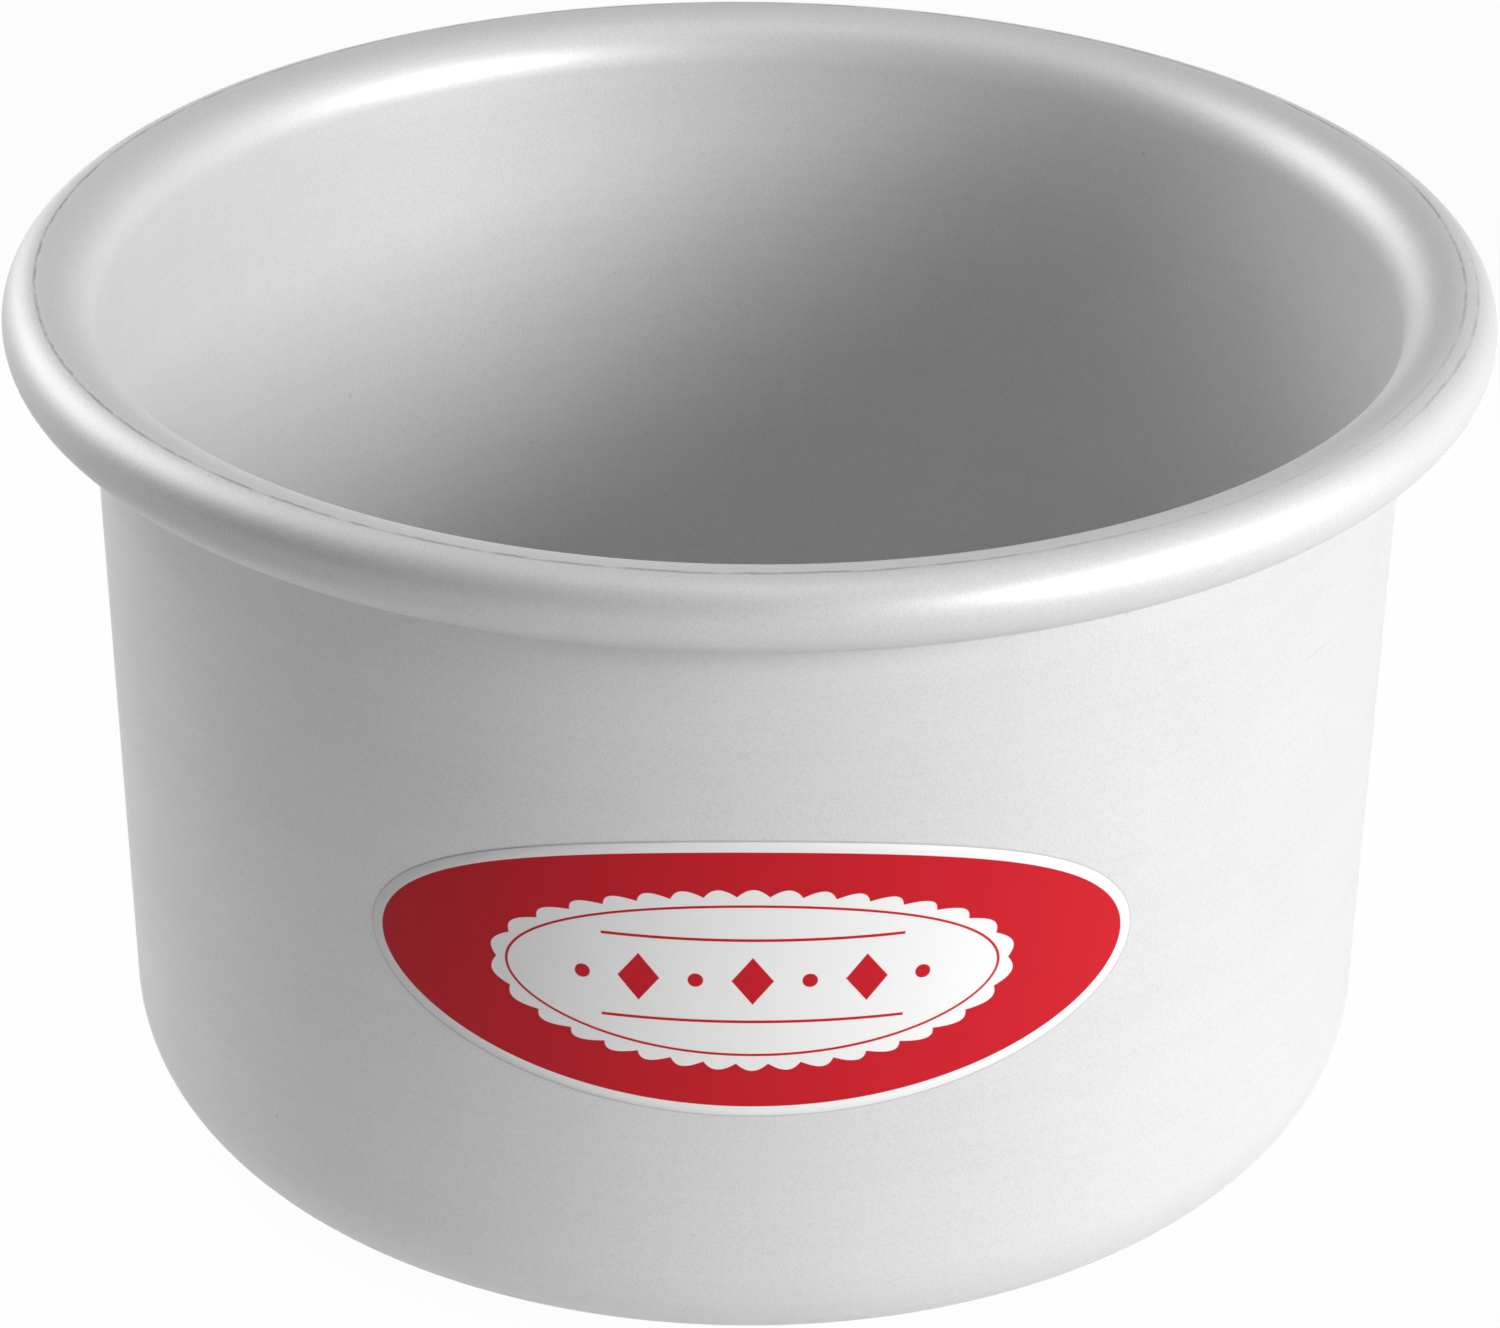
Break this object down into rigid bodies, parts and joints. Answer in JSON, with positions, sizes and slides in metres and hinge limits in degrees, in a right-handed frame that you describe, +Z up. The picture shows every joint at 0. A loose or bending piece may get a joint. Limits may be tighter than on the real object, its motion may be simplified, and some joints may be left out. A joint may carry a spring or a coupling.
{
  "type": "round cake tin",
  "caption": "Deep round cake tin with a near-straight wall, a rounded bottom corner, a hollow rolled rim and an oval film label on the front of the wall.",
  "frame": {"origin": "middle of the underside of the base, where the tin stands", "axes": "+Z up along the tin's axis, -Y towards the front where the label is, +X to the right of someone facing the label"},
  "size_m": [0.1736, 0.1736, 0.105],
  "materials": {
    "anodised_aluminium": "satin silver anodising over fine matt sheet, with light wear along the top of the rim",
    "label_film": "printed film with a red field, a white border and a faint grain"
  },
  "bodies": {
    "root": {"tin_shell": "anodised_aluminium", "label": "label_film"}
  },
  "joints": []
}
